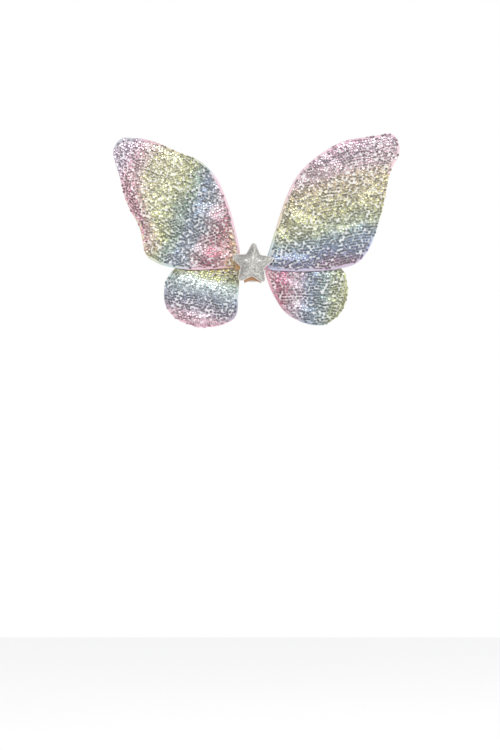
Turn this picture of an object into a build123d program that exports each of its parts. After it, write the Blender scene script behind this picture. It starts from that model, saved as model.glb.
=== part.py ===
from build123d import *
import os
from math import cos, hypot, pi, radians, sin, tan

# Child's sequinned fairy wings: two upper and two lower lobes, each a loop of
# spring wire in a fabric casing with a face and a lining, gathered to a centre
# that carries a padded star in front and two elastic arm loops behind.
#
# Millimetres. +X to the right of someone looking at the sequins, +Z up, and the
# sequins face -Y. The origin is on the face of the patch that lies against the
# wearer's back, straight behind the middle of the star.

# wire, casing and fabric
WIRE = 1.4
CASING = 3.0
CASING_BORE = 2.3
CRIMP = 2.1
CRIMP_BORE = 1.45
CRIMP_LENGTH = 8.0
FACE_THICKNESS = 1.2
LINING_THICKNESS = 0.6
SKIN_GAP = 0.1

# places along Y, from the wearer's back towards the sequins
PATCH_THICKNESS = 1.6
LOWER_PLANE = -2.9
UPPER_PLANE = -6.3
STAR_BACK_Y = -14.2

# back patch, its label and the gathered fabric between the wings
PATCH_WIDTH = 18.0
PATCH_TOP = 8.0
PATCH_BOTTOM = -14.0
GATHER_HALF_WIDTH = 10.5
GATHER_TOP = 8.5
GATHER_BOTTOM = -20.0
LABEL_WIDTH = 9.0
LABEL_LENGTH = 5.0
LABEL_THICKNESS = 0.3

# star
STAR_TIP = 27.8
STAR_NOTCH = 13.3
STAR_TURN = -3.5
STAR_TIP_RADIUS = 3.4
STAR_NOTCH_RADIUS = 2.0
STAR_LEAST_TIP_RADIUS = 2.2
STAR_FELT = 0.8
STAR_FLANGE = 0.8
STAR_RIM = 1.9
STAR_SKIN = 0.7
STAR_DEPTH = 5.4
STAR_STITCHES = 60
STITCH_INSET = 0.9
STITCH_LENGTH = 1.7
STITCH_WIDTH = 0.4

# elastic arm loops, each drawn as (reach, sideways) in a plane that slopes down
STRAP_WIDTH = 10.0
STRAP_THICKNESS = 1.2
STRAP_ANGLE = 50.0
STRAP_DROOP = 18.0
STRAP_START = 11.8
STRAP_ROOT_Y = -0.4
STRAP_LOOP = [
    (0, -1), (27, -10), (60, -25), (91, -23), (108, 1), (93, 24), (61, 24), (28, 9), (0, 1),
]
STRAP_END_LENGTH = 6.0
TACK_THREAD = 0.6
TACK_HEIGHT = 8.0

# control corners of each lobe's outline, (x, z), clockwise from the root
LEFT_UPPER = [
    (-14.5, 4), (-14, 16), (-24, 60), (-38, 94), (-56, 114), (-84, 124), (-112, 137.5),
    (-146, 140), (-155, 124), (-146, 96), (-139, 66), (-124, 42), (-118, 8), (-100, -1.5),
    (-68, -7), (-40, -5), (-17, -4),
]
RIGHT_UPPER = [
    (14.5, 4), (23, 31), (34, 68), (48, 98), (70, 119), (100, 137), (134, 141),
    (157, 145.5), (163.5, 124), (150, 101), (145, 66), (130, 19), (116, 0), (86, -7),
    (44, -8), (17, -6.5),
]
LEFT_LOWER = [
    (-14, -7), (-15.5, -32), (-17, -59), (-36, -68.5), (-60, -70), (-85, -61), (-98, -44),
    (-97, -18), (-84, -1), (-50, 1), (-20, -2),
]
RIGHT_LOWER = [
    (13, -8), (20.5, -30), (35, -54), (58, -66), (80, -68), (98, -54), (106, -32),
    (102, -8), (90, 2), (50, 3), (19, -3),
]


def smooth_loop(corners):
    """A closed wire whose corners are arcs as large as their two runs allow."""
    points = [Vector(x, z) for x, z in corners]
    radii = []
    for before, here, after in zip(points[-1:] + points[:-1], points, points[1:] + points[:1]):
        half_turn = radians((here - before).get_angle(after - here)) / 2
        radii.append(0.45 * min((here - before).length, (after - here).length) / tan(half_turn))
    return FilletPolyline(*points, radius=radii, close=True)


def standing(shape, y):
    """Turn a shape drawn in the flat so that it stands facing -Y, its base at y."""
    return Location((0, y, 0)) * Rotation(90, 0, 0) * shape


def inset(outline, amount):
    """The outline as a face, drawn in by an amount."""
    face = make_face(outline)
    return face if amount == 0 else offset(face, amount=-amount)


def plate(face, back, thickness):
    """A plate of one face, its back at y = back, reaching forward by its thickness."""
    return standing(extrude(face, amount=thickness), back)


def tube_along(path, outer, bore=0.0):
    """A round tube or rod that follows a path drawn in the flat."""
    start = Plane(origin=path @ 0, z_dir=path % 0)
    rod = sweep(start * Circle(outer / 2), path=path)
    return rod - sweep(start * Circle(bore / 2), path=path) if bore else rod


def longest_line_near_root(path):
    """The straight stretch of a lobe's wire that is nearest the centre."""
    lines = [edge for edge in path.edges() if edge.geom_type == GeomType.LINE]
    lines = [edge for edge in lines if edge.length > CRIMP_LENGTH]
    return min(lines, key=lambda edge: (edge @ 0.5).length)


def crimp_sleeve(path):
    """The sleeve that joins the two ends of a wire loop."""
    line = longest_line_near_root(path)
    middle = line @ 0.5
    run = line % 0.5
    start = Plane(origin=middle - run * (CRIMP_LENGTH / 2), z_dir=run)
    return extrude(start * (Circle(CRIMP / 2) - Circle(CRIMP_BORE / 2)), amount=CRIMP_LENGTH)


def lobe(name, corners, plane):
    """One wing lobe: wire, crimp, casing, sequinned face and lining."""
    outline = smooth_loop(corners)
    centre_line = inset(outline, CASING / 2).face().outer_wire()
    skin = inset(outline, CASING + SKIN_GAP)
    return {
        f"{name}_wire": standing(tube_along(centre_line, WIRE), plane),
        f"{name}_crimp_sleeve": standing(crimp_sleeve(centre_line), plane),
        f"{name}_casing": standing(tube_along(centre_line, CASING, CASING_BORE), plane),
        f"{name}_sequin_face": plate(skin, plane, FACE_THICKNESS),
        f"{name}_lining": plate(skin, plane + SKIN_GAP + LINING_THICKNESS, LINING_THICKNESS),
    }


def star_outline(inward=0.0):
    """The star with rounded tips and notches, its sides drawn in by a distance."""
    side_run = hypot(STAR_NOTCH * sin(pi / 5), STAR_TIP - STAR_NOTCH * cos(pi / 5))
    tip_slope = STAR_NOTCH * sin(pi / 5) / side_run
    notch_slope = STAR_TIP * sin(pi / 5) / side_run
    tip = STAR_TIP - inward / tip_slope
    notch = STAR_NOTCH - inward / notch_slope
    corners = []
    for index in range(10):
        reach = notch if index % 2 else tip
        angle = radians(90 + STAR_TURN - 36 * index)
        corners.append((reach * cos(angle), reach * sin(angle)))
    tip_radius = max(STAR_TIP_RADIUS - inward, STAR_LEAST_TIP_RADIUS)
    radii = [tip_radius, STAR_NOTCH_RADIUS + inward] * 5
    return make_face(FilletPolyline(*corners, radius=radii, close=True))


def domed(face, back, depth, edge):
    """A cushion of one face with its front edge sloped off."""
    block = extrude(face, amount=depth)
    return standing(chamfer(block.faces().sort_by(Axis.Z)[-1].edges(), edge), back)


def star_stitches(y):
    """A ring of short stitches through the star's rim."""
    ring = star_outline(STITCH_INSET).face().outer_wire()
    stitches = []
    for index in range(STAR_STITCHES):
        place = ring.location_at((index + 0.5) / STAR_STITCHES, x_dir=(0, 0, 1))
        bar = Box(STITCH_WIDTH, STITCH_WIDTH, STITCH_LENGTH)
        stitches.append(place * bar)
    flat = [Pos(0, 0, STITCH_WIDTH / 2) * stitch for stitch in stitches]
    return Compound(children=[standing(stitch, y) for stitch in flat])


def star():
    """The padded star: felt back, filling, glitter front and its stitching."""
    felt_front = STAR_BACK_Y - STAR_FELT
    filling = domed(star_outline(STAR_RIM + STAR_SKIN), felt_front, STAR_DEPTH - STAR_SKIN, 1.4)
    cap = domed(star_outline(STAR_RIM), felt_front, STAR_DEPTH, 1.6)
    flange = plate(star_outline(), felt_front, STAR_FLANGE)
    return {
        "star_felt_back": plate(star_outline(), STAR_BACK_Y, STAR_FELT),
        "star_filling": filling,
        "star_glitter_front": flange + cap - filling,
        "star_stitching": star_stitches(felt_front - STAR_FLANGE),
    }


def rounded_plate(width, top, bottom, back, thickness, radius):
    """An upright plate with rounded corners, centred on x = 0."""
    shape = Pos(0, (top + bottom) / 2) * RectangleRounded(width, top - bottom, radius)
    return plate(shape, back, thickness)


def gathered_centre():
    """The bunched fabric that the four lobes run into, behind the star."""
    back = -PATCH_THICKNESS - STRAP_THICKNESS
    depth = back - STAR_BACK_Y
    shape = Pos(0, (GATHER_TOP + GATHER_BOTTOM) / 2)
    shape *= RectangleRounded(2 * GATHER_HALF_WIDTH, GATHER_TOP - GATHER_BOTTOM, 6)
    block = extrude(shape, amount=depth)
    block = fillet(block.faces().sort_by(Axis.Z)[0].edges(), 3)
    return standing(block, back)


def strap_band(side):
    """One arm loop of flat elastic, its two ends side by side at the patch's edge."""
    points = [Vector(reach, sideways) for reach, sideways in STRAP_LOOP]
    radii = []
    for before, here, after in zip(points, points[1:], points[2:]):
        half_turn = radians((here - before).get_angle(after - here)) / 2
        radii.append(0.45 * min((here - before).length, (after - here).length) / tan(half_turn))
    line = FilletPolyline(*points, radius=radii)
    print("strap loop length", round(line.length, 1), "smallest arc", round(min(radii), 1))
    band = extrude(trace(line, line_width=STRAP_THICKNESS), amount=STRAP_WIDTH / 2, both=True)
    turned = Rotation(0, 0, STRAP_ANGLE) * Rotation(0, STRAP_DROOP, 0) * band
    right = Location((STRAP_START, STRAP_ROOT_Y, 0)) * turned
    return right if side > 0 else mirror(right, about=Plane.YZ)


def strap_ends(side):
    """The sewn ends of a loop, pressed flat between the patch and the gathers."""
    middle = side * (PATCH_WIDTH / 2 - STRAP_END_LENGTH / 2)
    shape = Pos(middle, 0) * Rectangle(STRAP_END_LENGTH, STRAP_WIDTH)
    return plate(shape, -PATCH_THICKNESS, STRAP_THICKNESS)


def bar_tacks(side):
    """Two upright bars of thread pulled down flush into the patch, over the ends of one loop."""
    bars = []
    for step in (0.25, 0.75):
        reach = side * (PATCH_WIDTH / 2 - STRAP_END_LENGTH * step)
        shape = Pos(reach, 0) * RectangleRounded(TACK_THREAD, TACK_HEIGHT, TACK_THREAD * 0.4)
        bars.append(plate(shape, 0, TACK_THREAD / 2))
    return Compound(children=bars)


def centre():
    """Everything at the middle that stays still while the wings move."""
    label_top = PATCH_BOTTOM
    label_bottom = PATCH_BOTTOM - LABEL_LENGTH
    nodes = {
        "back_patch": rounded_plate(PATCH_WIDTH, PATCH_TOP, PATCH_BOTTOM, 0, PATCH_THICKNESS, 3),
        "gathered_centre": gathered_centre(),
        "care_label": rounded_plate(LABEL_WIDTH, label_top, label_bottom, -1, LABEL_THICKNESS, 0.8),
    }
    nodes.update(star())
    for name, side in (("left", -1), ("right", 1)):
        nodes[f"{name}_strap"] = strap_band(side)
        nodes[f"{name}_strap_ends"] = strap_ends(side)
        tacks = bar_tacks(side)
        nodes[f"{name}_bar_tacks"] = tacks
        nodes["back_patch"] -= tacks
    return nodes


def fairy_wings():
    """All nodes by name."""
    nodes = centre()
    nodes.update(lobe("left_upper", LEFT_UPPER, UPPER_PLANE))
    nodes.update(lobe("right_upper", RIGHT_UPPER, UPPER_PLANE))
    nodes.update(lobe("left_lower", LEFT_LOWER, LOWER_PLANE))
    nodes.update(lobe("right_lower", RIGHT_LOWER, LOWER_PLANE))
    return nodes


os.makedirs("parts", exist_ok=True)
for node, shape in fairy_wings().items():
    export_step(shape, f"parts/{node}.step")
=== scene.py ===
import math
import random

import bmesh
import bpy
import numpy as np
from mathutils import Euler, Matrix, Vector, noise
from mathutils.bvhtree import BVHTree
from mathutils.geometry import delaunay_2d_cdt


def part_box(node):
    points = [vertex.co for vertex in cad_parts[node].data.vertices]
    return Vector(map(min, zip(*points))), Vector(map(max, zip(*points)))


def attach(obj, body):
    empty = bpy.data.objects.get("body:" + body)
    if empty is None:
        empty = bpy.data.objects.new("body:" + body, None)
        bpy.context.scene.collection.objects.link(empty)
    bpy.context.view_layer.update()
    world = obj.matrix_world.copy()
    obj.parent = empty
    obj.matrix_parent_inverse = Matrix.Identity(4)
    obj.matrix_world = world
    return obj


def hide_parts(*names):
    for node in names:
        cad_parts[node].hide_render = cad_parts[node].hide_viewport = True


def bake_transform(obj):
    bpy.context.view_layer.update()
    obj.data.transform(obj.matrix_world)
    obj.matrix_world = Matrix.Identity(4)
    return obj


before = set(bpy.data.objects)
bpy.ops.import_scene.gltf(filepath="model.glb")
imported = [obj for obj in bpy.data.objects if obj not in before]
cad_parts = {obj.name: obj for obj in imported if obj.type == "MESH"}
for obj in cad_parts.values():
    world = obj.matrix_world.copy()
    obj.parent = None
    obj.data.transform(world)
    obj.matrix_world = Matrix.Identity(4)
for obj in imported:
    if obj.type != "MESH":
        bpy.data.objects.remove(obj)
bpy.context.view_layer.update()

MM = 0.001
scene = bpy.context.scene
noise.seed_set(41)   # noise_vector is otherwise different on every run

# sizes in metres
CASING_RADIUS = 1.5 * MM
FACE_TO_CASING = 1.6 * MM
CLOTH_THICKNESS = 0.25 * MM
SEQUIN_RADIUS = 1.60 * MM
SEQUIN_HOLE = 0.32 * MM
SEQUIN_SIDES = 10
SEQUIN_STEP = 2.98 * MM
SEQUIN_JITTER = 0.34 * MM
SEQUIN_CLOSEST = 2.15 * MM
INNER_EDGE_MARGIN = -0.9 * MM
OUTER_EDGE_MARGIN = -2.3 * MM
GRID = 3.6 * MM
MOST_SHIFT = 0.35 * MM
MOST_SAG = 0.1 * MM

# the cloth is simulated this many times larger than life, for this many frames
SIM_SCALE = 10.0
SIM_FRAMES = 22

# how each lobe's cloth lies: ridges are (x, z, direction in degrees, length, width, height) in mm
LOBES = {
    "left_upper": {
        "body": "left_upper_wing",
        "row_angle": -38.0,
        "seed": 11,
        "outer": (-0.77, 0.64),
        "ridges": [(-46, 49, -16, 22, 17, 2.9), (-36, 3, -20, 20, 14, 2.5), (-62, 13, -20, 11, 10, 1.8)],
        "flat_above": None,
    },
    "right_upper": {
        "body": "right_upper_wing",
        "row_angle": 12.0,
        "seed": 23,
        "outer": (0.77, 0.64),
        "ridges": [(49, 45, -34, 17, 13, 2.6), (42, 3, -3, 26, 7, 1.5)],
        "flat_above": None,
    },
    "left_lower": {
        "body": "left_lower_wing",
        "row_angle": -14.0,
        "seed": 37,
        "outer": (-0.85, -0.5),
        "ridges": [(-64, -23, -17, 46, 16, 3.0), (-28, -48, -12, 14, 9, 1.7), (-54, -62, -8, 27, 8, 1.8)],
        "flat_above": -5 * MM,
    },
    "right_lower": {
        "body": "right_lower_wing",
        "row_angle": 62.0,
        "seed": 53,
        "outer": (0.85, -0.5),
        "ridges": [(40, -25, -25, 16, 9, 1.5), (56, -52, -20, 17, 8, 1.4), (84, -44, -30, 14, 8, 1.2)],
        "flat_above": -8 * MM,
    },
}

# fabric colours along a direction in each lobe: (start x, start z), (end x, end z) in mm, then stops
RAINBOW = {
    "left_upper": {
        "from": (-143, 120), "to": (9, 56),
        "stops": [(0.0, (0.56, 0.42, 0.54)), (0.07, (0.70, 0.37, 0.47)), (0.15, (0.70, 0.46, 0.45)),
                  (0.24, (0.62, 0.57, 0.30)), (0.32, (0.80, 0.79, 0.42)), (0.43, (0.49, 0.50, 0.21)),
                  (0.52, (0.17, 0.27, 0.20)), (0.60, (0.16, 0.22, 0.32)), (0.68, (0.22, 0.25, 0.32)),
                  (0.735, (0.41, 0.23, 0.28)), (0.79, (0.34, 0.06, 0.11)), (0.87, (0.57, 0.22, 0.23)),
                  (0.94, (0.64, 0.39, 0.13)), (1.0, (0.58, 0.36, 0.10))],
        "strip": ((-143, 104), (-108, 8), 15, (0.60, 0.19, 0.30)),
    },
    "left_upper_casing": {
        "from": (-143, 120), "to": (9, 56),
        "stops": [(0.0, (0.50, 0.50, 0.60)), (0.08, (0.74, 0.42, 0.52)), (0.20, (0.74, 0.48, 0.48)),
                  (0.30, (0.74, 0.62, 0.36)), (0.46, (0.60, 0.64, 0.46)), (0.58, (0.46, 0.58, 0.58)),
                  (0.66, (0.56, 0.52, 0.64)), (0.74, (0.76, 0.46, 0.56)), (0.86, (0.72, 0.36, 0.44)),
                  (0.95, (0.52, 0.27, 0.12)), (1.0, (0.46, 0.26, 0.08))],
        "strip": ((-20, 0), (-58, 100), 14, (0.84, 0.54, 0.66)),
    },
    "right_upper": {
        "from": (100, 140), "to": (133, 8),
        "stops": [(0.0, (0.76, 0.40, 0.53)), (0.12, (0.40, 0.25, 0.32)), (0.25, (0.52, 0.34, 0.38)),
                  (0.36, (0.50, 0.38, 0.22)), (0.47, (0.47, 0.41, 0.19)), (0.58, (0.49, 0.48, 0.19)),
                  (0.68, (0.34, 0.39, 0.20)), (0.76, (0.17, 0.25, 0.27)), (0.84, (0.14, 0.22, 0.36)),
                  (0.90, (0.11, 0.13, 0.27)), (1.0, (0.20, 0.07, 0.16))],
    },
    "right_upper_casing": {
        "from": (100, 140), "to": (133, 8),
        "stops": [(0.0, (0.82, 0.54, 0.66)), (0.34, (0.80, 0.54, 0.58)), (0.50, (0.76, 0.60, 0.44)),
                  (0.64, (0.62, 0.66, 0.42)), (0.78, (0.42, 0.54, 0.60)), (0.88, (0.36, 0.42, 0.64)),
                  (1.0, (0.52, 0.38, 0.56))],
    },
    "left_lower": {
        "from": (-44, -4), "to": (-60, -72),
        "stops": [(0.0, (0.28, 0.22, 0.03)), (0.14, (0.25, 0.27, 0.07)), (0.26, (0.54, 0.70, 0.66)),
                  (0.40, (0.51, 0.62, 0.69)), (0.52, (0.21, 0.25, 0.35)), (0.68, (0.29, 0.21, 0.32)),
                  (0.82, (0.80, 0.46, 0.57)), (1.0, (0.78, 0.38, 0.52))],
    },
    "right_lower": {
        "from": (16, -28), "to": (106, -38),
        "stops": [(0.0, (0.72, 0.32, 0.40)), (0.16, (0.46, 0.09, 0.18)), (0.34, (0.47, 0.29, 0.38)),
                  (0.50, (0.14, 0.20, 0.31)), (0.68, (0.19, 0.28, 0.28)), (0.84, (0.31, 0.36, 0.14)),
                  (1.0, (0.54, 0.56, 0.22))],
    },
}


# ---------------------------------------------------------------- small helpers

def add_object(name, mesh, smooth=True):
    """A new object in the scene for a finished mesh."""
    obj = bpy.data.objects.new(name, mesh)
    scene.collection.objects.link(obj)
    if smooth:
        mesh.polygons.foreach_set("use_smooth", [True] * len(mesh.polygons))
    return obj


def mesh_from(name, vertices, faces):
    """A mesh from lists of points and faces."""
    mesh = bpy.data.meshes.new(name)
    mesh.from_pydata([tuple(v) for v in vertices], [], faces)
    mesh.validate()
    mesh.update()
    return mesh


def outward_normals(mesh):
    """Turns a closed mesh's faces so that they all point outwards."""
    bm = bmesh.new()
    bm.from_mesh(mesh)
    bmesh.ops.recalc_face_normals(bm, faces=bm.faces)
    bm.to_mesh(mesh)
    bm.free()


def ring_faces(rings, size, closed=False):
    """Faces that join rings of points into a tube, its ends capped unless it closes on itself."""
    faces = []
    for ring in range(rings if closed else rings - 1):
        following = (ring + 1) % rings
        for turn in range(size):
            after = (turn + 1) % size
            faces.append((ring * size + turn, ring * size + after, following * size + after,
                          following * size + turn))
    if not closed:
        faces.append(tuple(range(size))[::-1])
        faces.append(tuple((rings - 1) * size + turn for turn in range(size)))
    return faces


def front_outline(node):
    """The outline of a flat CAD node's front face, as a loop of (x, z) in metres."""
    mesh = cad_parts[node].data
    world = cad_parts[node].matrix_world
    points = [world @ v.co for v in mesh.vertices]
    front = min(p.y for p in points)
    uses = {}
    for polygon in mesh.polygons:
        corners = [points[i] for i in polygon.vertices]
        if max(abs(c.y - front) for c in corners) > 1e-5:
            continue
        keys = [(round(c.x, 6), round(c.z, 6)) for c in corners]
        for a, b in zip(keys, keys[1:] + keys[:1]):
            uses.setdefault(frozenset((a, b)), []).append((a, b))
    following = {pair[0][0]: pair[0][1] for pair in uses.values() if len(pair) == 1}
    start = next(iter(following))
    loop = [start]
    while following[loop[-1]] != start:
        loop.append(following[loop[-1]])
    return [Vector(p) for p in loop]


def resample(loop, step, closed=True):
    """Points along a line or loop at an even spacing near the step."""
    points = [Vector(p) for p in loop]
    if closed:
        points.append(points[0])
    lengths = [0.0]
    for a, b in zip(points, points[1:]):
        lengths.append(lengths[-1] + (b - a).length)
    count = max(3, round(lengths[-1] / step))
    result = []
    segment = 0
    for index in range(count + (0 if closed else 1)):
        target = lengths[-1] * index / count
        while segment < len(points) - 2 and lengths[segment + 1] < target:
            segment += 1
        run = lengths[segment + 1] - lengths[segment]
        share = (target - lengths[segment]) / run if run else 0.0
        result.append(points[segment].lerp(points[segment + 1], share))
    return result


def signed_area(loop):
    """Area of a loop, positive when it runs anticlockwise."""
    return sum(a.x * b.y - b.x * a.y for a, b in zip(loop, loop[1:] + loop[:1])) / 2


def grown(loop, amount):
    """The loop moved outwards by an amount."""
    turn = 1 if signed_area(loop) > 0 else -1
    result = []
    for before, here, after in zip(loop[-1:] + loop[:-1], loop, loop[1:] + loop[:1]):
        along = (after - before).normalized()
        result.append(here + Vector((along.y, -along.x)) * amount * turn)
    return result


def edge_table(loop):
    """The loop's sides as arrays, for fast distances."""
    a = np.array([tuple(p) for p in loop])
    b = np.roll(a, -1, axis=0)
    return a, b


def nearest_side(table, x, z):
    """Distance from (x, z) to the loop, negative outside it, and the way out of the loop there."""
    a, b = table
    p = np.array((x, z))
    run = b - a
    share = np.clip(((p - a) * run).sum(1) / (run * run).sum(1), 0, 1)
    nearest = a + run * share[:, None]
    gaps = np.sqrt(((p - nearest) ** 2).sum(1))
    side = int(gaps.argmin())
    gap = float(gaps[side])
    out = Vector(nearest[side] - p).normalized()
    above = (a[:, 1] > z) != (b[:, 1] > z)
    crossing = a[:, 0] + (z - a[:, 1]) * run[:, 0] / np.where(run[:, 1] == 0, 1e-12, run[:, 1])
    inside = np.count_nonzero(above & (x < crossing)) % 2 == 1
    return (gap, out) if inside else (-gap, -out)


def distance_inside(table, x, z):
    """Distance from (x, z) to the loop, negative outside it."""
    return nearest_side(table, x, z)[0]


def smoothstep(value):
    value = min(1.0, max(0.0, value))
    return value * value * (3 - 2 * value)


# ---------------------------------------------------------------- lobe cloth

def ridge_height(lobe, x, z, edge_gap):
    """How far the cloth is pulled forward at a point, before it is let go."""
    total = 0.0
    for cx, cz, angle, length, width, height in lobe["ridges"]:
        c, s = math.cos(math.radians(angle)), math.sin(math.radians(angle))
        u = ((x - cx * MM) * c + (z - cz * MM) * s) / (length * MM)
        v = (-(x - cx * MM) * s + (z - cz * MM) * c) / (width * MM)
        flank = 1 - v if v > 0 else 1 + v / 0.7
        total += height * MM * math.exp(-1.5 * u ** 4) * max(0.0, flank)
    point = Vector((x * 26, z * 26, lobe["seed"]))
    total += 0.5 * MM * noise.noise(point) + 0.2 * MM * noise.noise(point * 2.7)
    total += 0.2 * MM
    fade = smoothstep(edge_gap / (8 * MM))
    if lobe["flat_above"] is not None:
        fade *= smoothstep((lobe["flat_above"] - z) / (6 * MM))
    return max(total, -0.08 * MM) * fade


def flat_grid(loop, spacing, seed):
    """A loop filled with even, slightly uneven triangles: points, faces, number on the edge."""
    table = edge_table(loop)
    rng = random.Random(seed)
    low_x, high_x = min(p.x for p in loop), max(p.x for p in loop)
    low_z, high_z = min(p.y for p in loop), max(p.y for p in loop)
    points = [Vector((p.x, p.y)) for p in loop]
    row = 0
    z = low_z
    while z < high_z:
        x = low_x + (spacing / 2 if row % 2 else 0)
        while x < high_x:
            px = x + rng.uniform(-0.2, 0.2) * spacing
            pz = z + rng.uniform(-0.2, 0.2) * spacing
            if distance_inside(table, px, pz) > spacing * 0.6:
                points.append(Vector((px, pz)))
            x += spacing
        z += spacing * 0.866
        row += 1
    count = len(loop)
    sides = [(i, (i + 1) % count) for i in range(count)]
    result = delaunay_2d_cdt(points, sides, [], 1, 1e-7)
    return result[0], result[2], count


def settled(name, points, faces, edge_count, fixed):
    """Cloth let go from its first shape, held at its edge, and returned as settled points."""
    mesh = mesh_from(name, [p * SIM_SCALE for p in points], faces)
    obj = add_object(name, mesh)
    group = obj.vertex_groups.new(name="held")
    group.add(list(range(edge_count)) + fixed, 1.0, "REPLACE")
    modifier = obj.modifiers.new("cloth", "CLOTH")
    settings = modifier.settings
    settings.quality = 6
    settings.mass = 0.2
    settings.tension_stiffness = 25
    settings.compression_stiffness = 25
    settings.shear_stiffness = 8
    settings.bending_stiffness = 4.0
    settings.vertex_group_mass = "held"
    settings.shrink_min = -0.012
    settings.effector_weights.gravity = 0.25
    modifier.point_cache.frame_start = 1
    modifier.point_cache.frame_end = SIM_FRAMES
    for step in range(1, SIM_FRAMES + 1):
        scene.frame_set(step)
    evaluated = obj.evaluated_get(bpy.context.evaluated_depsgraph_get())
    result = [Vector(v.co) / SIM_SCALE for v in evaluated.data.vertices]
    bpy.data.objects.remove(obj, do_unlink=True)
    bpy.data.meshes.remove(mesh)
    scene.frame_set(1)
    return result


def shaped_cloth(name, lobe, loop, plane, forward):
    """One skin of a lobe: its ridges, then a short simulation that eases them."""
    table = edge_table(loop)
    flat, faces, edge_count = flat_grid(loop, GRID, lobe["seed"])
    points = []
    fixed = []
    for index, p in enumerate(flat):
        lift = ridge_height(lobe, p.x, p.y, max(0.0, distance_inside(table, p.x, p.y)))
        points.append(Vector((p.x, plane - forward * lift, p.y)))
        if lobe["flat_above"] is not None and p.y > lobe["flat_above"] and index >= edge_count:
            fixed.append(index)
    loose = settled(name + "_loose", points, faces, edge_count, fixed)
    kept = []
    for start, end in zip(points, loose):
        shift = end - start
        if shift.length > MOST_SHIFT:
            shift *= MOST_SHIFT / shift.length
        moved = start + shift
        limit = plane + forward * MOST_SAG
        moved.y = min(moved.y, limit) if forward > 0 else max(moved.y, limit)
        kept.append(moved)
    return kept, faces


def cloth_piece(name, points, faces, forward):
    """A thin closed sheet from one layer of points, rounded by one subdivision."""
    mesh = mesh_from(name, points, faces)
    bm = bmesh.new()
    bm.from_mesh(mesh)
    bmesh.ops.recalc_face_normals(bm, faces=bm.faces)
    facing = sum(f.normal.y * f.calc_area() for f in bm.faces)
    if facing * forward > 0:
        bmesh.ops.reverse_faces(bm, faces=bm.faces)
    bm.to_mesh(mesh)
    bm.free()
    obj = add_object(name, mesh)
    subdivide = obj.modifiers.new("smooth", "SUBSURF")
    subdivide.levels = subdivide.render_levels = 1
    solid = obj.modifiers.new("thick", "SOLIDIFY")
    solid.thickness = CLOTH_THICKNESS
    solid.offset = -1
    return baked(obj)


def baked(obj):
    """The object with its modifiers made real."""
    evaluated = obj.evaluated_get(bpy.context.evaluated_depsgraph_get())
    mesh = bpy.data.meshes.new_from_object(evaluated)
    old = obj.data
    obj.modifiers.clear()
    obj.data = mesh
    mesh.name = obj.name
    bpy.data.meshes.remove(old)
    mesh.polygons.foreach_set("use_smooth", [True] * len(mesh.polygons))
    return obj


# ---------------------------------------------------------------- sequins

NEIGHBOURS = [(i, j) for i in (-1, 0, 1) for j in (-1, 0, 1)]


def row_points(lobe, loop, table):
    """Centres of the sequins: close rows that wander, each sequin a little out of line."""
    rng = random.Random(lobe["seed"] + 100)
    middle = sum(loop, Vector((0, 0))) / len(loop)
    reach = max((p - middle).length for p in loop) + 4 * MM
    angle = math.radians(lobe["row_angle"])
    c, s = math.cos(angle), math.sin(angle)
    rows = int(reach / (SEQUIN_STEP * 0.866))
    columns = int(reach / SEQUIN_STEP) + 1
    taken = {}
    result = []
    for row in range(-rows, rows + 1):
        for column in range(-columns, columns + 1):
            u = (column + 0.5 * (row % 2)) * SEQUIN_STEP
            v = row * SEQUIN_STEP * 0.866
            x = middle.x + u * c - v * s
            z = middle.y + u * s + v * c
            drift = noise.noise_vector(Vector((x * 40, z * 40, lobe["seed"])))
            swirl = noise.noise_vector(Vector((x * 190, z * 190, lobe["seed"] + 0.5)))
            x += 3.4 * MM * drift.x + 0.75 * MM * swirl.x + rng.gauss(0, SEQUIN_JITTER)
            z += 3.4 * MM * drift.y + 0.75 * MM * swirl.y + rng.gauss(0, SEQUIN_JITTER)
            gap, out = nearest_side(table, x, z)
            outer = smoothstep(0.5 + 1.6 * out.dot(Vector(lobe["outer"])))
            if gap < INNER_EDGE_MARGIN + (OUTER_EDGE_MARGIN - INNER_EDGE_MARGIN) * outer:
                continue
            here = Vector((x, z))
            cell = (int(x // SEQUIN_STEP), int(z // SEQUIN_STEP))
            near = [p for i, j in NEIGHBOURS for p in taken.get((cell[0] + i, cell[1] + j), ())]
            if any((here - p).length < SEQUIN_CLOSEST for p in near):
                continue
            taken.setdefault(cell, []).append(here)
            result.append(here)
    return result


def sequin_shape():
    """Points, faces, and shares of painted rim shade and of pale cut edge (partly a painted highlight on the
    lip), of one thin faceted cup sequin with a hole.
    """
    # each layer: radius, height in mm, share of painted rim shade (a painted dark reflection round the cup's
    # rim), share of pale cut edge
    layers = [(SEQUIN_HOLE, 0.13, 0.0, 0.0), (SEQUIN_RADIUS * 0.60, 0.14, 0.05, 0.0),
              (SEQUIN_RADIUS * 0.86, 0.24, 1.0, 0.0), (SEQUIN_RADIUS, 0.29, 0.8, 1.0),
              (SEQUIN_RADIUS, 0.21, 0.8, 1.0), (SEQUIN_HOLE, 0.0, 0.0, 0.0)]
    points = []
    shares = []
    for radius, height, rim, edge in layers:
        for side in range(SEQUIN_SIDES):
            turn = 2 * math.pi * side / SEQUIN_SIDES
            points.append((radius * math.cos(turn), radius * math.sin(turn), height * MM))
            shares.append((rim, edge))
    faces = ring_faces(len(layers), SEQUIN_SIDES, closed=True)
    return np.array(points), np.array(faces), np.array(shares)


def front_hit(trees, x, z):
    """The foremost point of several surfaces at (x, z), with its normal."""
    start = Vector((x, -0.06, z))
    hits = [tree.ray_cast(start, Vector((0, 1, 0))) for tree in trees]
    hits = [hit for hit in hits if hit[0] is not None]
    if not hits:
        return None, None
    place, normal, _, _ = min(hits, key=lambda hit: hit[0].y)
    return place, normal


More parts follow.
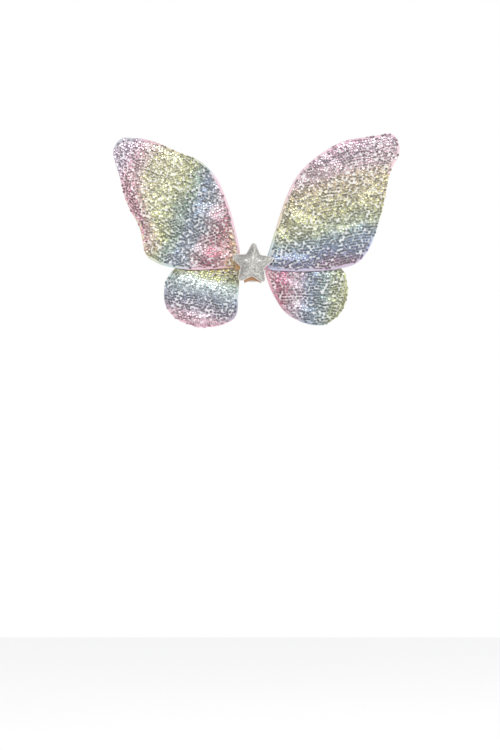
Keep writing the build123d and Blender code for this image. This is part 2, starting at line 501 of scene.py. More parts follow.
def sequin_piece(name, lobe, loop, table, surfaces):
    """All the sequins of one lobe, sewn flat on its cloth in wandering rows, each a little tilted."""
    rng = random.Random(lobe["seed"] + 200)
    depsgraph = bpy.context.evaluated_depsgraph_get()
    trees = [BVHTree.FromObject(surface, depsgraph) for surface in surfaces]
    shape, faces, shares = sequin_shape()
    all_points = []
    shades = []
    for point in row_points(lobe, loop, table):
        place, normal = front_hit(trees, point.x, point.y)
        if place is None:
            continue
        tangent = normal.orthogonal().normalized()
        side = normal.cross(tangent)
        turn = Matrix((tangent, side, normal)).transposed()
        loose = 6.0 if rng.random() < 0.08 else 2.2
        tilt = Euler((math.radians(rng.gauss(0, loose)), math.radians(rng.gauss(0, loose)),
                      rng.uniform(0, 2 * math.pi)), "XYZ").to_matrix()
        spin = np.array(turn @ tilt)
        lift = place + normal * rng.uniform(0.10, 0.30) * MM
        all_points.append(shape @ spin.T + np.array(lift))
        # one random value per sequin: it sets the sequin's roughness and its painted lightness, which stands
        # in for the light its tilt catches
        shades.append(rng.random())
    count = len(all_points)
    vertices = np.concatenate(all_points)
    quads = np.concatenate([faces + index * len(shape) for index in range(count)])
    mesh = bpy.data.meshes.new(name)
    mesh.vertices.add(len(vertices))
    mesh.vertices.foreach_set("co", vertices.ravel())
    mesh.loops.add(quads.size)
    mesh.loops.foreach_set("vertex_index", quads.ravel())
    mesh.polygons.add(len(quads))
    mesh.polygons.foreach_set("loop_start", np.arange(0, quads.size, 4))
    mesh.update(calc_edges=True)
    mesh.validate()
    # the shade attribute holds each sequin's random value, its share of painted rim shade and its share of
    # pale cut edge, which is partly a painted highlight
    tint = mesh.color_attributes.new("shade", "FLOAT_COLOR", "POINT")
    values = np.repeat(np.array(shades), len(shape))
    parts = np.tile(shares, (count, 1))
    colours = np.stack([values, parts[:, 0], parts[:, 1], np.ones_like(values)], 1)
    tint.data.foreach_set("color", colours.ravel())
    mesh.polygons.foreach_set("use_smooth", [False] * len(mesh.polygons))
    obj = add_object(name, mesh, smooth=False)
    return obj


# ---------------------------------------------------------------- tubes and stitches

STITCH_SIDES = 6
# along the stitch in its own length, then width and rise in thread radii
STITCH_RINGS = [(-0.5, 0.25, -0.5), (-0.38, 0.9, 0.3), (0.0, 1.0, 0.8), (0.38, 0.9, 0.3), (0.5, 0.25, -0.5)]

def tube(name, path, radius, sides, closed, wobble=0.0, seed=0):
    """A mesh tube along 3-D points, its section uneven where wobble is not 0."""
    count = len(path)
    points = []
    for index, here in enumerate(path):
        before = path[index - 1] if closed or index else here
        after = path[(index + 1) % count] if closed or index < count - 1 else here
        tangent = (after - before).normalized()
        side = tangent.cross(Vector((0, 1, 0)))
        side = side.normalized() if side.length > 1e-6 else Vector((1, 0, 0))
        up = side.cross(tangent).normalized()
        for turn in range(sides):
            angle = 2 * math.pi * turn / sides
            out = side * math.cos(angle) + up * math.sin(angle)
            lump = noise.noise(here * 330 + out * 0.9 + Vector((seed, 0, 0)))
            points.append(here + out * radius * (1 + wobble * lump))
    mesh = mesh_from(name, points, ring_faces(count, sides, closed))
    outward_normals(mesh)
    return add_object(name, mesh)


def stitch_line(name, path, normal_at, stitch, gap, radius, closed=True):
    """A run of short rounded stitches laid along 3-D points."""
    placed = resample([tuple(p) for p in path], stitch + gap, closed) if closed else path
    vertices = []
    faces = []
    count = len(placed)
    for index, here in enumerate(placed):
        after = placed[(index + 1) % count]
        before = placed[index - 1]
        run = (after - before).normalized()
        normal = normal_at(here)
        side = run.cross(normal).normalized()
        base = len(vertices)
        for along, width, rise in STITCH_RINGS:
            centre = here + run * along * stitch + normal * rise * radius
            for turn in range(STITCH_SIDES):
                angle = 2 * math.pi * turn / STITCH_SIDES
                vertices.append(centre + (side * math.cos(angle) + normal * math.sin(angle)) * radius * width)
        faces += [tuple(base + i for i in face) for face in ring_faces(len(STITCH_RINGS), STITCH_SIDES)]
    mesh = mesh_from(name, vertices, faces)
    outward_normals(mesh)
    return add_object(name, mesh)


# ---------------------------------------------------------------- materials

# how far each part's dye is from the sequins' own colour (0) towards white (1)
# for the sequins' cut edge this paleness is partly the film's own edge and partly a painted highlight on each
# sequin's lip
CUT_EDGE_PALENESS_AND_HIGHLIGHT = 0.64
FACE_PALENESS = 0.70
LINING_PALENESS = 0.58
CASING_PALENESS = 0.22
DYE_WANDER = 0.2


def new_material(name):
    """A material, its node tree and its shader."""
    material = bpy.data.materials.new(name)
    material.use_nodes = True
    tree = material.node_tree
    return material, tree, tree.nodes["Principled BSDF"]


def math_node(tree, kind, a, b=None):
    """The result socket of one sum on numbers or sockets."""
    node = tree.nodes.new("ShaderNodeMath")
    node.operation = kind
    for socket, value in zip(node.inputs, (a, b)):
        if value is None:
            continue
        if isinstance(value, (int, float)):
            socket.default_value = value
        else:
            tree.links.new(value, socket)
    return node.outputs[0]


def paler(colour, share):
    """A colour brought a share of the way to white, with its alpha."""
    return tuple(c + (1 - c) * share for c in colour) + (1,)


def steps_from(tree, place, start, step):
    """How far a place lies from the start, counted in a direction at a scale."""
    dot = tree.nodes.new("ShaderNodeVectorMath")
    dot.operation = "DOT_PRODUCT"
    tree.links.new(place, dot.inputs[0])
    dot.inputs[1].default_value = step
    return math_node(tree, "SUBTRACT", dot.outputs["Value"], start.dot(step))


def rainbow_colour(tree, recipe, lighten):
    """A colour socket that runs through a lobe's rainbow across the cloth."""
    place = tree.nodes.new("ShaderNodeTexCoord")
    start = Vector((recipe["from"][0] * MM, 0, recipe["from"][1] * MM))
    end = Vector((recipe["to"][0] * MM, 0, recipe["to"][1] * MM))
    run = end - start
    share = steps_from(tree, place.outputs["Object"], start, run / run.length_squared)
    cloud = tree.nodes.new("ShaderNodeTexNoise")
    cloud.inputs["Scale"].default_value = 38
    cloud.inputs["Detail"].default_value = 2
    tree.links.new(place.outputs["Object"], cloud.inputs["Vector"])
    shift = math_node(tree, "MULTIPLY", math_node(tree, "SUBTRACT", cloud.outputs["Fac"], 0.5), DYE_WANDER)
    share = math_node(tree, "ADD", share, shift)
    ramp = tree.nodes.new("ShaderNodeValToRGB")
    ramp.color_ramp.interpolation = "EASE"
    elements = ramp.color_ramp.elements
    while len(elements) > 1:
        elements.remove(elements[-1])
    for index, (at, colour) in enumerate(recipe["stops"]):
        element = elements[0] if index == 0 else elements.new(at)
        element.position = at
        element.color = paler(colour, lighten)
    tree.links.new(share, ramp.inputs["Fac"])
    colour = ramp.outputs["Color"]
    if "strip" in recipe:
        colour = edge_strip(tree, recipe["strip"], lighten, place.outputs["Object"], colour)
    return colour, place.outputs["Object"]


def edge_strip(tree, strip, lighten, place, base):
    """Another colour mixed in beside a straight line, fading away from it and at its ends."""
    start, end, width, tint = strip
    start = Vector((start[0] * MM, 0, start[1] * MM))
    run = Vector((end[0] * MM, 0, end[1] * MM)) - start
    away = Vector((-run.z, 0, run.x)).normalized()
    along = steps_from(tree, place, start, run / run.length_squared)
    across = steps_from(tree, place, start, away / (width * MM))
    rest = math_node(tree, "SUBTRACT", 1, along)
    middle = math_node(tree, "MULTIPLY", math_node(tree, "MULTIPLY", along, 4), rest)
    near = math_node(tree, "MAXIMUM", math_node(tree, "SUBTRACT", 1, across), 0)
    amount = math_node(tree, "MULTIPLY", near, math_node(tree, "MAXIMUM", middle, 0))
    mix = tree.nodes.new("ShaderNodeMix")
    mix.data_type = "RGBA"
    tree.links.new(math_node(tree, "MINIMUM", amount, 0.9), mix.inputs[0])
    tree.links.new(base, mix.inputs[6])
    mix.inputs[7].default_value = paler(tint, lighten)
    return mix.outputs[2]


def bump_from(tree, shader, height, strength, distance):
    """Fine relief on a shader from a height socket."""
    bump = tree.nodes.new("ShaderNodeBump")
    bump.inputs["Strength"].default_value = strength
    bump.inputs["Distance"].default_value = distance
    tree.links.new(height, bump.inputs["Height"])
    tree.links.new(bump.outputs["Normal"], shader.inputs["Normal"])


def weave_height(tree, vector, threads_per_metre):
    """Crossed sine waves: a plain weave."""
    scaled = tree.nodes.new("ShaderNodeVectorMath")
    scaled.operation = "SCALE"
    scaled.inputs["Scale"].default_value = threads_per_metre * math.pi
    tree.links.new(vector, scaled.inputs[0])
    parts = tree.nodes.new("ShaderNodeSeparateXYZ")
    tree.links.new(scaled.outputs[0], parts.inputs[0])
    across = math_node(tree, "SINE", math_node(tree, "ADD", parts.outputs["X"], parts.outputs["Y"]))
    up = math_node(tree, "SINE", parts.outputs["Z"])
    return math_node(tree, "MULTIPLY", across, up)


def sequin_material(name, recipe):
    """Tinted mirror-like film; each sequin is painted a little lighter or darker at random, a painted
    stand-in for the light its tilt catches, with painted shade on its rim ring and a pale cut edge that is
    partly a painted highlight.
    """
    material, tree, shader = new_material("sequins_" + name)
    colour, _ = rainbow_colour(tree, recipe, 0.0)
    shade = tree.nodes.new("ShaderNodeAttribute")
    shade.attribute_name = "shade"
    parts = tree.nodes.new("ShaderNodeSeparateColor")
    tree.links.new(shade.outputs["Color"], parts.inputs[0])
    # painted light: each sequin is made lighter or darker by its random value, standing in for the light its
    # tilt catches
    own = parts.outputs[0]
    squared = math_node(tree, "MULTIPLY", own, own)
    bright = math_node(tree, "ADD", math_node(tree, "MULTIPLY", squared, 0.9), 0.66)
    # painted shade: each sequin's rim ring is darkened, a painted dark reflection
    rim = math_node(tree, "SUBTRACT", 1.0, math_node(tree, "MULTIPLY", parts.outputs[1], 0.90))
    lift = math_node(tree, "MULTIPLY", bright, rim)
    scaled = tree.nodes.new("ShaderNodeVectorMath")
    scaled.operation = "SCALE"
    tree.links.new(colour, scaled.inputs[0])
    tree.links.new(lift, scaled.inputs["Scale"])
    # pale cut edge and lip: partly the film's own edge, partly a painted highlight standing in for glints on
    # the rims
    edge = math_node(tree, "MULTIPLY", parts.outputs[2], 0.95)
    pale = tree.nodes.new("ShaderNodeMix")
    pale.data_type = "RGBA"
    light, _ = rainbow_colour(tree, recipe, CUT_EDGE_PALENESS_AND_HIGHLIGHT)
    tree.links.new(light, pale.inputs[7])
    tree.links.new(edge, pale.inputs[0])
    tree.links.new(scaled.outputs[0], pale.inputs[6])
    tree.links.new(pale.outputs[2], shader.inputs["Base Color"])
    tree.links.new(math_node(tree, "SUBTRACT", 0.95, edge), shader.inputs["Metallic"])
    rough = math_node(tree, "ADD", math_node(tree, "MULTIPLY", own, 0.10), 0.20)
    tree.links.new(rough, shader.inputs["Roughness"])
    shader.inputs["Coat Weight"].default_value = 1.0
    shader.inputs["Coat Roughness"].default_value = 0.18
    shader.inputs["Coat IOR"].default_value = 1.8
    return material


def cloth_material(name, recipe, lighten, threads=900, sheen=0.35):
    """Pastel woven fabric in the lobe's rainbow."""
    material, tree, shader = new_material(name)
    colour, place = rainbow_colour(tree, recipe, lighten)
    tree.links.new(colour, shader.inputs["Base Color"])
    shader.inputs["Roughness"].default_value = 0.78
    shader.inputs["Sheen Weight"].default_value = sheen
    shader.inputs["Sheen Roughness"].default_value = 0.4
    bump_from(tree, shader, weave_height(tree, place, threads), 0.35, 0.0002)
    return material


def plain_cloth(name, colour, threads=1100, variation=0.10, roughness=0.85, sheen=0.3):
    """One-colour fabric with a weave and a slight cloudiness."""
    material, tree, shader = new_material(name)
    place = tree.nodes.new("ShaderNodeTexCoord")
    cloud = tree.nodes.new("ShaderNodeTexNoise")
    cloud.inputs["Scale"].default_value = 160
    cloud.inputs["Detail"].default_value = 4
    tree.links.new(place.outputs["Object"], cloud.inputs["Vector"])
    ramp = tree.nodes.new("ShaderNodeValToRGB")
    ramp.color_ramp.elements[0].color = tuple(c * (1 - variation) for c in colour) + (1,)
    ramp.color_ramp.elements[1].color = tuple(min(1, c * (1 + variation)) for c in colour) + (1,)
    tree.links.new(cloud.outputs["Fac"], ramp.inputs["Fac"])
    tree.links.new(ramp.outputs["Color"], shader.inputs["Base Color"])
    shader.inputs["Roughness"].default_value = roughness
    shader.inputs["Sheen Weight"].default_value = sheen
    bump_from(tree, shader, weave_height(tree, place.outputs["Object"], threads), 0.4, 0.0002)
    return material


def glitter_material(name, dark, light):
    """Silver glitter cloth: tiny flakes that each catch the light differently."""
    material, tree, shader = new_material(name)
    place = tree.nodes.new("ShaderNodeTexCoord")
    flakes = tree.nodes.new("ShaderNodeTexVoronoi")
    flakes.inputs["Scale"].default_value = 1500
    tree.links.new(place.outputs["Object"], flakes.inputs["Vector"])
    parts = tree.nodes.new("ShaderNodeSeparateColor")
    tree.links.new(flakes.outputs["Color"], parts.inputs[0])
    ramp = tree.nodes.new("ShaderNodeValToRGB")
    ramp.color_ramp.elements[0].color = dark + (1,)
    ramp.color_ramp.elements[1].color = light + (1,)
    tree.links.new(parts.outputs[0], ramp.inputs["Fac"])
    tree.links.new(ramp.outputs["Color"], shader.inputs["Base Color"])
    rough = math_node(tree, "ADD", math_node(tree, "MULTIPLY", parts.outputs[1], 0.3), 0.28)
    tree.links.new(rough, shader.inputs["Roughness"])
    shader.inputs["Metallic"].default_value = 0.55
    bump_from(tree, shader, parts.outputs[2], 0.55, 0.0002)
    return material


def metal_material(name, colour, roughness):
    """Bare metal with fine drawn scratches."""
    material, tree, shader = new_material(name)
    place = tree.nodes.new("ShaderNodeTexCoord")
    grain = tree.nodes.new("ShaderNodeTexNoise")
    grain.inputs["Scale"].default_value = 900
    tree.links.new(place.outputs["Object"], grain.inputs["Vector"])
    shader.inputs["Base Color"].default_value = colour + (1,)
    shader.inputs["Metallic"].default_value = 1.0
    rough = math_node(tree, "ADD", math_node(tree, "MULTIPLY", grain.outputs["Fac"], 0.2), roughness)
    tree.links.new(rough, shader.inputs["Roughness"])
    bump_from(tree, shader, grain.outputs["Fac"], 0.1, 0.0001)
    return material


# ---------------------------------------------------------------- the four lobes

def build_lobe(name, lobe):
    """Face, sequins, lining, casing and seam of one lobe, each as its own piece."""
    body = lobe["body"]
    recipe = RAINBOW[name]
    face_low, face_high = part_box(name + "_sequin_face")
    lining_low, lining_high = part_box(name + "_lining")
    outline = resample(front_outline(name + "_sequin_face"), 2.6 * MM)
    table = edge_table(outline)

    centre_line = grown(outline, FACE_TO_CASING)
    casing_low, casing_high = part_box(name + "_casing")
    middle = (casing_low[1] + casing_high[1]) / 2
    path = [Vector((p.x, middle, p.y)) for p in resample(centre_line, 1.1 * MM)]
    casing = tube(name + "_edge_casing", path, CASING_RADIUS, 14, True, 0.07, lobe["seed"])
    edge_recipe = RAINBOW.get(name + "_casing", recipe)
    casing.data.materials.append(cloth_material("casing_" + name, edge_recipe, CASING_PALENESS, 1200, 0.3))

    plane = (face_low[1] + face_high[1]) / 2
    points, faces = shaped_cloth(name + "_face", lobe, outline, plane, 1)
    cloth = cloth_piece(name + "_face_cloth", points, faces, 1)
    cloth.data.materials.append(cloth_material("face_cloth_" + name, recipe, FACE_PALENESS))
    sequins = sequin_piece(name + "_sequins", lobe, outline, table, [cloth, casing])
    sequins.data.materials.append(sequin_material(name, recipe))

    rear = dict(lobe, seed=lobe["seed"] + 5)
    rear["ridges"] = [(x, z, a, l, w, h * 0.45) for x, z, a, l, w, h in lobe["ridges"]]
    rear_plane = (lining_low[1] + lining_high[1]) / 2
    points, faces = shaped_cloth(name + "_back", rear, outline, rear_plane, -1)
    lining = cloth_piece(name + "_lining_cloth", points, faces, -1)
    lining.data.materials.append(cloth_material("lining_" + name, recipe, LINING_PALENESS, 700, 0.2))

    seam_line = grown(outline, 0.15 * MM)
    seam = stitch_line(name + "_seam", [Vector((p.x, middle - 0.98 * MM, p.y)) for p in seam_line],
                       lambda p: Vector((0, -1, 0)), 1.6 * MM, 0.7 * MM, 0.17 * MM)
    seam.data.materials.append(THREAD)

    for piece in (cloth, sequins, lining, casing, seam):
        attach(piece, body)
    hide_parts(name + "_sequin_face")
    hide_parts(name + "_lining")
    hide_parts(name + "_casing")


# ---------------------------------------------------------------- star

STAR_FELT_SHOWING = 0.75 * MM
STAR_RIM = 1.3 * MM
STAR_FLANGE = 0.75 * MM
STAR_SHOULDER = 6.5 * MM
STAR_STEP = 0.7 * MM


def eased(heights, faces, held, rounds):
    """Heights averaged with their neighbours several times, apart from the held ones."""
    near = [set() for _ in heights]
    for face in faces:
        for a, b in zip(face, list(face[1:]) + list(face[:1])):
            near[a].add(b)
            near[b].add(a)
    for _ in range(rounds):
        heights = [h if i in held else 0.4 * h + 0.6 * sum(heights[j] for j in near[i]) / len(near[i])
                   for i, h in enumerate(heights)]
    return heights


def star_rises(gaps, faces, height):
    """How far the star's padding stands out at each point, from the points' distances to the edge."""
    rises = []
    for gap in gaps:
        share = min(1.0, max(0.0, gap - STAR_RIM) / STAR_SHOULDER)
        rises.append(height * (1 - (1 - share) ** 2.4))
    held = {i for i, gap in enumerate(gaps) if gap < STAR_RIM}
    return eased(rises, [tuple(f) for f in faces], held, 14)


def build_star():
    """Padded glitter star on a narrow felt rim, and its stitching, whose dark grey thread is painted shade
    for the groove inside the rim.
    """
    low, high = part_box("star_glitter_front")
    felt_loop = resample(front_outline("star_felt_back"), STAR_STEP)
    loop = resample(grown(felt_loop, -STAR_FELT_SHOWING), STAR_STEP)
    table = edge_table(loop)
    flat, faces, edge_count = flat_grid(loop, 0.8 * MM, 7)
    gaps = [max(0.0, distance_inside(table, p.x, p.y)) for p in flat]
    rises = star_rises(gaps, faces, (high[1] - low[1] - STAR_FLANGE) * 0.96)
    front = []
    back = []
    for p, gap, rise in zip(flat, gaps, rises):
        puckers = noise.noise(Vector((p.x * 420, p.y * 420, 3.0))) * 0.09 * MM
        round_edge = STAR_FLANGE * (0.40 + 0.60 * smoothstep(gap / (0.8 * MM)))
        puckers *= smoothstep(gap / STAR_RIM - 0.8)
        front.append(Vector((p.x, high[1] - round_edge - rise - puckers, p.y)))
        back.append(Vector((p.x, high[1], p.y)))
    count = len(flat)
    all_faces = [tuple(f) for f in faces] + [tuple(count + i for i in reversed(f)) for f in faces]
    for i in range(edge_count):
        j = (i + 1) % edge_count
        all_faces.append((i, j, count + j, count + i))
    mesh = mesh_from("star_front", front + back, all_faces)
    outward_normals(mesh)
    star = add_object("star_front", mesh)
    star.data.materials.append(glitter_material("silver_glitter", (0.20, 0.195, 0.18), (0.80, 0.785, 0.74)))
    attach(star, "centre")
    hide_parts("star_glitter_front", "star_filling")

    # real stitches, their thread darkened to paint the shade of the groove just inside the star's rim
    inner = grown(loop, -0.7 * MM)
    front_y = high[1] - STAR_FLANGE
    stitches = stitch_line("star_rim_stitches", [Vector((p.x, front_y, p.y)) for p in inner],
                           lambda p: Vector((0, -1, 0)), 1.3 * MM, 0.5 * MM, 0.15 * MM)
    stitches.data.materials.append(PAINTED_GROOVE_SHADE_THREAD)
    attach(stitches, "centre")
    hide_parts("star_stitching")


# ---------------------------------------------------------------- gathered centre

def build_gathers():
    """The bunched fabric behind the star, with folds that run across it; its orange is darkened with painted
    shade from the star.
    """
    low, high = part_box("gathered_centre")
    middle = (Vector(low) + Vector(high)) / 2
    half = (Vector(high) - Vector(low)) / 2
    across = 44
    around = 72
    points = []
    for i in range(across + 1):
        u = -1 + 2 * i / across
        pinch = 1.0 - 0.10 * math.cos(u * math.pi) - 0.55 * max(0.0, abs(u) - 0.86) / 0.14
        for j in range(around):
            angle = 2 * math.pi * j / around
            c, s = math.cos(angle), math.sin(angle)
            corner = (abs(c) ** 3.2 + abs(s) ** 3.2) ** (-1 / 3.2)
            fold = 0.055 * math.sin(11 * angle + 1.6 * math.sin(2.2 * u + angle))
            fold += 0.05 * noise.noise(Vector((u * 1.2, c * 2.5, s * 2.5)))
            size = corner * pinch * (0.94 + fold)
            drop = 0.96 if s < 0 and abs(u) < 0.8 else 1.0
            points.append(Vector((middle.x + u * half.x, middle.y + c * size * half.y,
                                  middle.z + s * size * drop * half.z)))
    for p in points:
        p.y = min(max(p.y, low[1]), high[1])
    mesh = mesh_from("gathers", points, ring_faces(across + 1, around))
    outward_normals(mesh)
    obj = add_object("gathers", mesh)
    # orange fabric, its colour darkened with painted shade for the shadow behind the star
    obj.data.materials.append(plain_cloth("gathered_cloth_painted_shade", (0.44, 0.23, 0.11), 900, 0.18))
    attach(obj, "centre")
    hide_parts("gathered_centre")


ROOT_REACH = 19.5 * MM
ROOT_DEPTH = -8.6 * MM


def build_root(side, sign, colour):
    """The narrow pleated end of one side's lobes, drawn in behind the star."""
    _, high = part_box("gathered_centre")
    inner_x = sign * (high[0] - 2.0 * MM)
    outer_x = sign * ROOT_REACH
    upper_low, upper_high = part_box(side + "_upper_casing")
    y_outer = (upper_low[1] + upper_high[1]) / 2
    across = 18
    around = 48
    points = []
    for i in range(across + 1):
        u = i / across
        x = inner_x + (outer_x - inner_x) * u
        y_mid = ROOT_DEPTH + (y_outer - ROOT_DEPTH) * smoothstep(u * 1.3)
        z_mid = -0.5 * MM + 3.0 * MM * u
        half_z = (6.0 + 2.2 * u) * MM
        half_y = (2.6 * (1 - u) + 0.9 * u) * MM
        for j in range(around):
            angle = 2 * math.pi * j / around
            c, s = math.cos(angle), math.sin(angle)
            fold = 1 + (0.16 - 0.06 * u) * math.sin(9 * angle + 2.0 * u + sign) * abs(c)
            points.append(Vector((x, y_mid + c * half_y * fold,
                                  z_mid + s * half_z * (0.96 + 0.04 * fold))))
    mesh = mesh_from(side + "_root_pleats", points, ring_faces(across + 1, around))
    outward_normals(mesh)
    obj = add_object(side + "_root_pleats", mesh)
    obj.data.materials.append(plain_cloth(side + "_root_cloth", colour, 900, 0.14))
    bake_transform(obj)


# ---------------------------------------------------------------- straps and patch

STRAP_WIDTH = 10.0 * MM
STRAP_THICKNESS = 1.2 * MM
STRAP_ANGLE = math.radians(50.0)
STRAP_DROOP = math.radians(18.0)
STRAP_START = Vector((11.8 * MM, -0.4 * MM, 0))
STRAP_LOOP = [(0, -1), (27, -10), (60, -25), (91, -23), (108, 1), (93, 24), (61, 24), (28, 9), (0, 1)]


def strap_centre_line():
    """Smooth points along the elastic, in the plane that it lies in."""
    curve = bpy.data.curves.new("strap_line", "CURVE")
    curve.dimensions = "3D"
    curve.resolution_u = 16
    spline = curve.splines.new("NURBS")
    spline.points.add(len(STRAP_LOOP) - 1)
    for point, (reach, sideways) in zip(spline.points, STRAP_LOOP):
        point.co = (reach * MM, sideways * MM, 0, 1)
    spline.order_u = 3
    spline.use_endpoint_u = True
    holder = bpy.data.objects.new("strap_line", curve)
    scene.collection.objects.link(holder)
    mesh = bpy.data.meshes.new_from_object(holder.evaluated_get(bpy.context.evaluated_depsgraph_get()))
    line = [Vector(v.co) for v in mesh.vertices]
    bpy.data.objects.remove(holder, do_unlink=True)
    return resample(line, 0.8 * MM, closed=False)


def build_strap(side, sign):
    """Woven elastic with ribs along it, as one closed band."""
    line = strap_centre_line()
    ribs = 9
    profile = []
    steps = ribs * 6
    for k in range(steps + 1):
        w = -0.5 + k / steps
        rib = 0.5 + 0.5 * math.cos(2 * math.pi * ribs * (w + 0.5))
        edge = math.sqrt(max(0.0, 1 - (abs(2 * w)) ** 14))
        profile.append((w * STRAP_WIDTH, STRAP_THICKNESS / 2 * edge * (1 - 0.16 * rib)))
    section = [(w, t) for w, t in profile] + [(w, -t) for w, t in reversed(profile[1:-1])]
    turn = Matrix.Rotation(STRAP_ANGLE, 3, "Z") @ Matrix.Rotation(STRAP_DROOP, 3, "Y")
    points = []
    for index, here in enumerate(line):
        before = line[max(0, index - 1)]
        after = line[min(len(line) - 1, index + 1)]
        run = (after - before).normalized()
        out = Vector((-run.y, run.x, 0))
        share = index / (len(line) - 1)
        sag = 1.3 * MM * math.sin(share * math.pi * 2.6) * math.sin(share * math.pi)
        lean = 0.16 * math.sin(share * math.pi) * math.sin(share * 5.0 + 0.6)
        for w, t in section:
            local = here + Vector((0, 0, w * math.cos(lean) - sag)) + out * (t + w * math.sin(lean))
            placed = turn @ local + STRAP_START
            points.append(Vector((placed.x * sign, placed.y, placed.z)))
    mesh = mesh_from(side + "_elastic", points, ring_faces(len(line), len(section)))
    outward_normals(mesh)
    obj = add_object(side + "_elastic", mesh)
    obj.data.materials.append(ELASTIC)
    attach(obj, side + "_arm_loop")
    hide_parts(side + "_strap")


def build_patch_stitches():
    """The line of stitches round the back patch."""
    low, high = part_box("back_patch")
    middle_z = (low[2] + high[2]) / 2
    half_x = (high[0] - low[0]) / 2 - 1.3 * MM
    half_z = (high[2] - low[2]) / 2 - 1.3 * MM
    loop = []
    for k in range(96):
        angle = 2 * math.pi * k / 96
        c, s = math.cos(angle), math.sin(angle)
        size = (abs(c) ** 7 + abs(s) ** 7) ** (-1 / 7)
        loop.append(Vector((c * size * half_x, high[1] - 0.05 * MM, middle_z + s * size * half_z)))
    obj = stitch_line("patch_stitches", loop, lambda p: Vector((0, 1, 0)), 1.8 * MM, 0.7 * MM, 0.2 * MM)
    obj.data.materials.append(THREAD)
    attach(obj, "centre")


def finish_cad_nodes():
    """Materials for the CAD nodes that stay as they are."""
    wire = metal_material("spring_wire", (0.62, 0.62, 0.64), 0.25)
    crimp = metal_material("crimp_metal", (0.74, 0.74, 0.76), 0.3)
    felt = plain_cloth("white_felt", (0.86, 0.85, 0.83), 2300, 0.05, 0.95, 0.6)
    rim_felt = plain_cloth("rim_felt", (0.84, 0.82, 0.78), 2300, 0.06, 0.95, 0.5)
    satin = plain_cloth("label_satin", (0.93, 0.93, 0.92), 2600, 0.02, 0.35, 0.2)
    for name in LOBES:
        paint(name + "_wire", wire)
        paint(name + "_crimp_sleeve", crimp)
    paint("back_patch", felt)
    paint("star_felt_back", rim_felt)
    paint("care_label", satin)
    for side in ("left", "right"):
        paint(side + "_strap_ends", ELASTIC)
        paint(side + "_bar_tacks", THREAD)


def paint(node, material):
    """One material over the whole of a CAD node."""
    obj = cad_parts[node]
    if obj.material_slots:
        for holder in obj.material_slots:
            holder.material = material
    else:
        obj.data.materials.append(material)


# ---------------------------------------------------------------- studio

def build_camera():
    """Level camera straight in front, as far back as a portrait lens needs."""
    across_at_object = 0.825
    distance = 2.6
    camera = bpy.data.cameras.new("camera")
    camera.sensor_fit = "VERTICAL"
    camera.sensor_height = 36
    camera.lens = 36 * distance / across_at_object
    holder = bpy.data.objects.new("camera", camera)
    holder.location = (-0.0029, -0.007 - distance, -0.1218)
    holder.rotation_euler = (math.radians(90), 0, 0)
    scene.collection.objects.link(holder)
    scene.camera = holder


def area_light(name, place, aim, size, power):
    """A rectangular soft light at a place, turned to its aim."""
    light = bpy.data.lights.new(name, "AREA")
    light.shape = "RECTANGLE"
    light.size, light.size_y = size
    light.energy = power
    holder = bpy.data.objects.new(name, light)
    holder.location = place
    direction = Vector(aim) - Vector(place)
    holder.rotation_euler = direction.to_track_quat("-Z", "Y").to_euler()
    scene.collection.objects.link(holder)


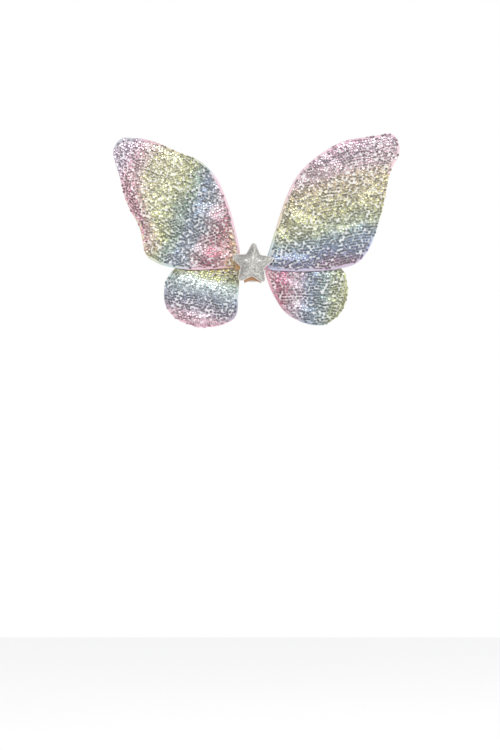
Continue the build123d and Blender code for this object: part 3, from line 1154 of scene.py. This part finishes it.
def build_world():
    """Plain white to look at; it lights the object more dimly, and least from straight ahead."""
    world = bpy.data.worlds.new("studio")
    scene.world = world
    world.use_nodes = True
    tree = world.node_tree
    background = tree.nodes["Background"]
    path = tree.nodes.new("ShaderNodeLightPath")
    place = tree.nodes.new("ShaderNodeTexCoord")
    parts = tree.nodes.new("ShaderNodeSeparateXYZ")
    tree.links.new(place.outputs["Generated"], parts.inputs[0])
    ahead = math_node(tree, "MULTIPLY", parts.outputs["Y"], -1)
    level = math_node(tree, "SUBTRACT", 1.0, math_node(tree, "ABSOLUTE", parts.outputs["Z"]))
    dark = math_node(tree, "MULTIPLY", ahead, level)
    ramp = tree.nodes.new("ShaderNodeValToRGB")
    ramp.color_ramp.elements[0].position = 0.35
    ramp.color_ramp.elements[0].color = (0.62, 0.62, 0.63, 1)
    ramp.color_ramp.elements[1].position = 0.85
    ramp.color_ramp.elements[1].color = (0.21, 0.207, 0.207, 1)
    tree.links.new(dark, ramp.inputs["Fac"])
    mix = tree.nodes.new("ShaderNodeMix")
    mix.data_type = "RGBA"
    mix.inputs[7].default_value = (1, 1, 1, 1)
    tree.links.new(path.outputs["Is Camera Ray"], mix.inputs[0])
    tree.links.new(ramp.outputs["Color"], mix.inputs[6])
    tree.links.new(mix.outputs[2], background.inputs["Color"])
    background.inputs["Strength"].default_value = 1.0


def build_studio():
    """Camera, world, two soft lights, and a pale floor that ends not far behind the object."""
    build_camera()
    build_world()
    area_light("key", (0.05, -1.76, 0.71), (0, 0, 0.02), (0.95, 0.52), 12)
    area_light("fill", (1.1, -1.1, 0.7), (0, 0, 0.02), (0.9, 0.9), 7)
    reach, floor_z = 1.7, -0.60
    corners = [(x * reach, y * reach, floor_z) for x, y in ((-1, -1), (1, -1), (1, 1), (-1, 1))]
    mesh = mesh_from("floor", corners, [(0, 1, 2, 3)])
    floor = add_object("floor", mesh, smooth=False)
    material, _, shader = new_material("pale_floor")
    shader.inputs["Base Color"].default_value = (0.95, 0.95, 0.95, 1)
    shader.inputs["Roughness"].default_value = 0.9
    shader.inputs["Emission Color"].default_value = (1, 1, 1, 1)
    shader.inputs["Emission Strength"].default_value = 0.30
    floor.data.materials.append(material)
    scene.view_settings.view_transform = "Standard"


THREAD = plain_cloth("thread", (0.90, 0.86, 0.87), 3000, 0.04)
# dark grey thread for the star's stitches: its darkness is painted shade for the groove inside the rim
PAINTED_GROOVE_SHADE_THREAD = plain_cloth("silver_thread", (0.36, 0.35, 0.34), 3000, 0.05, 0.45)
ELASTIC = plain_cloth("elastic", (0.90, 0.89, 0.88), 1700, 0.03, 0.8)

build_studio()
for lobe_name, lobe_facts in LOBES.items():
    build_lobe(lobe_name, lobe_facts)
build_star()
build_gathers()
build_root("left", -1, (0.60, 0.36, 0.18))
build_root("right", 1, (0.62, 0.34, 0.44))
for side_name, side_sign in (("left", -1), ("right", 1)):
    build_strap(side_name, side_sign)
build_patch_stitches()
finish_cad_nodes()
